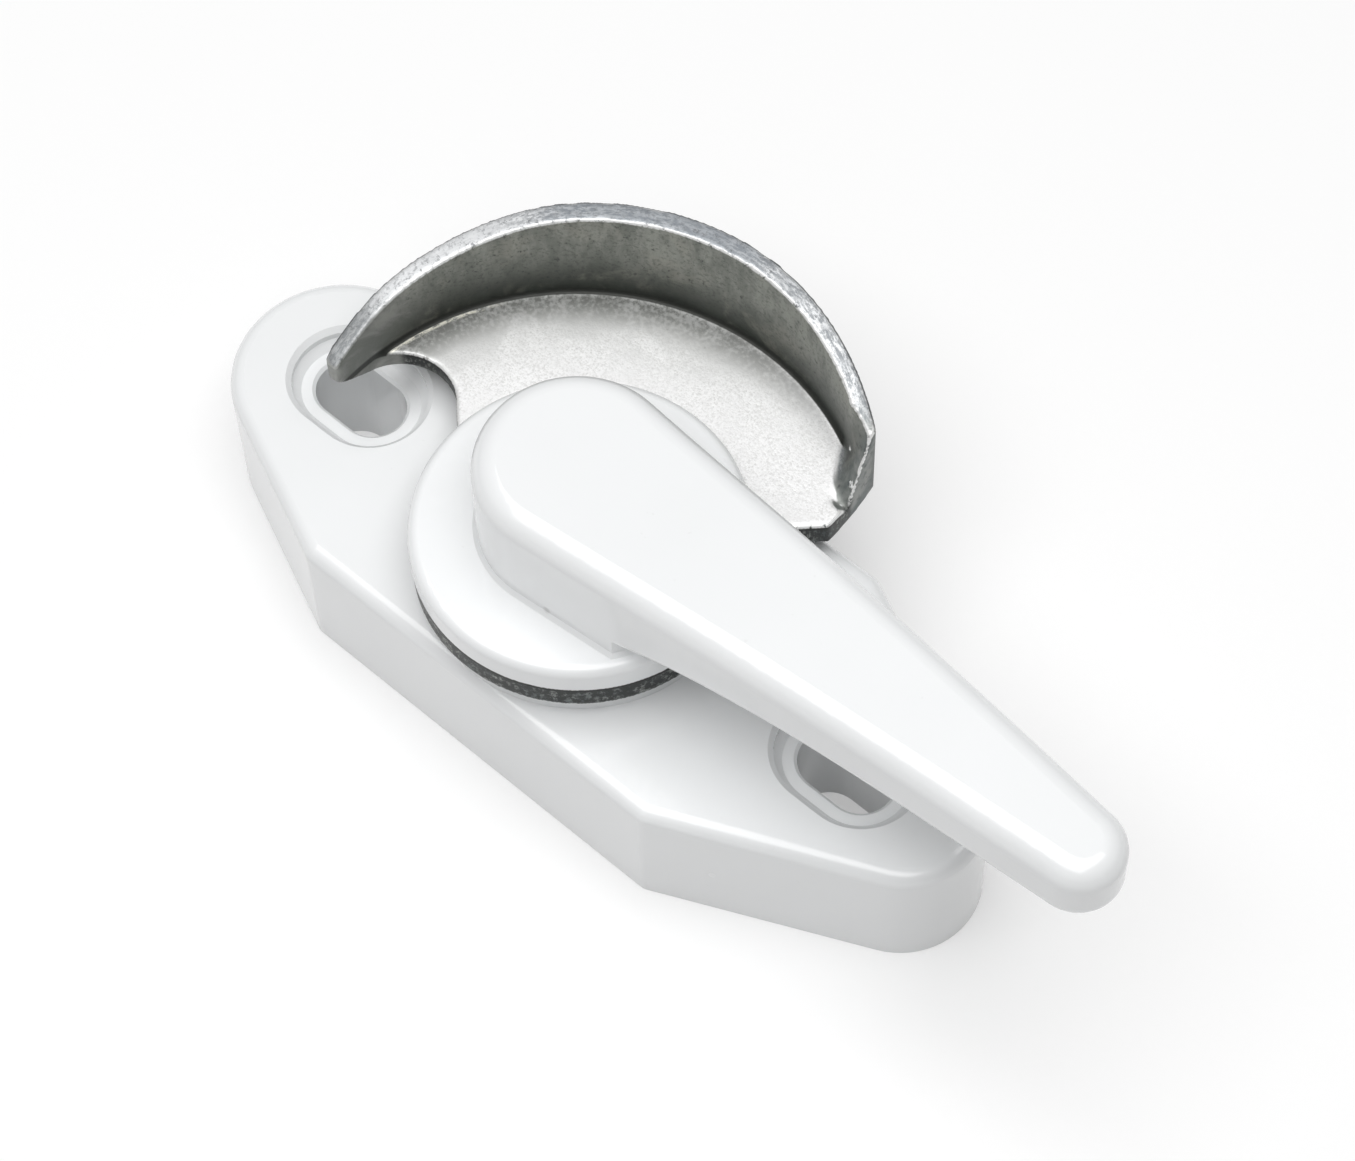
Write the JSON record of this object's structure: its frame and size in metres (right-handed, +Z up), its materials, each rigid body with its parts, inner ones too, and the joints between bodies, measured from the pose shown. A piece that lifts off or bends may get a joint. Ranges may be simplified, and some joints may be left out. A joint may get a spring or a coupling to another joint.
{
  "type": "sliding window lock",
  "caption": "White crescent lock for a sliding window: cast base with two screw slots, a long lever and a bare metal crescent cam that turn together by half a turn.",
  "frame": {"origin": "midway between the screw slots, in the plane of the back face; the turning axis stands 0.9 mm to the left and 0.8 mm to the near side of it", "axes": "X along the base towards the lever's tip, Y to the side where the crescent reaches out, Z up from the back face"},
  "size_m": [0.1026, 0.0438, 0.0353],
  "materials": {
    "white_paint": "gloss white powder coat",
    "raw_zinc": "bare zinc casting, dull and mottled",
    "acetal": "smooth",
    "steel": "turned and zinc plated",
    "spring_steel": "blued spring steel",
    "zinc_plate": "bright zinc plate"
  },
  "bodies": {
    "base": {"base_housing": "white_paint", "bearing_bush": "acetal", "sliding_washer": "acetal", "detent_spring_near": "spring_steel", "detent_spring_far": "spring_steel", "back_cover": "zinc_plate", "cover_screw_1": "zinc_plate", "cover_screw_2": "zinc_plate", "cover_screw_3": "zinc_plate", "cover_screw_4": "zinc_plate"},
    "turning_set": {"handle": "white_paint", "crescent_cam": "raw_zinc", "spindle": "steel", "drive_pin_near": "steel", "drive_pin_far": "steel", "detent_block": "steel", "disc_spring": "spring_steel", "retaining_washer": "steel", "lock_washer": "spring_steel", "retaining_screw": "steel"}
  },
  "joints": [
    {"name": "handle_turn", "type": "hinge", "parent": "base", "child": "turning_set", "pos_m": [-0.0009, -0.0008, 0], "axis": [0, 0, -1], "range_deg": [0, 180], "deforming": ["detent_spring_near", "detent_spring_far"]}
  ]
}
